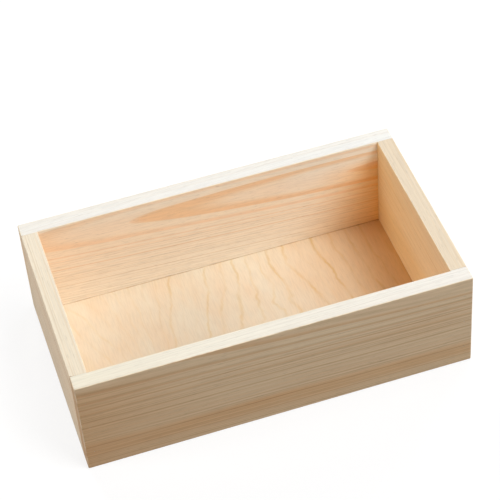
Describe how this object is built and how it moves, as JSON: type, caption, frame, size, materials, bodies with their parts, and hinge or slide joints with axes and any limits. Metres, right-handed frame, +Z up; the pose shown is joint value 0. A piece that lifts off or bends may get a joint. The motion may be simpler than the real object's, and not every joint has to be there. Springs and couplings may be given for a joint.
{
  "type": "open wooden box",
  "caption": "Open-topped rectangular pine box with butted and pinned corners and a thin plywood floor let into a rebate; holds tools or small parts.",
  "frame": {"origin": "centre of the underside, on the surface that the box stands on", "axes": "+X along the length to the right, +Y across the width from the front board to the back board, +Z up"},
  "size_m": [0.28, 0.165, 0.082],
  "materials": {
    "pine": "planed and sanded, unvarnished",
    "birch_plywood": "sanded veneer, unvarnished",
    "bright_wire": "drawn galvanised wire"
  },
  "bodies": {
    "root": {"front_board": "pine", "back_board": "pine", "left_end_board": "pine", "right_end_board": "pine", "floor_panel": "birch_plywood", "front_left_corner_pins": "bright_wire", "front_right_corner_pins": "bright_wire", "back_left_corner_pins": "bright_wire", "back_right_corner_pins": "bright_wire", "front_floor_brads": "bright_wire", "back_floor_brads": "bright_wire", "left_floor_brads": "bright_wire", "right_floor_brads": "bright_wire"}
  },
  "joints": []
}
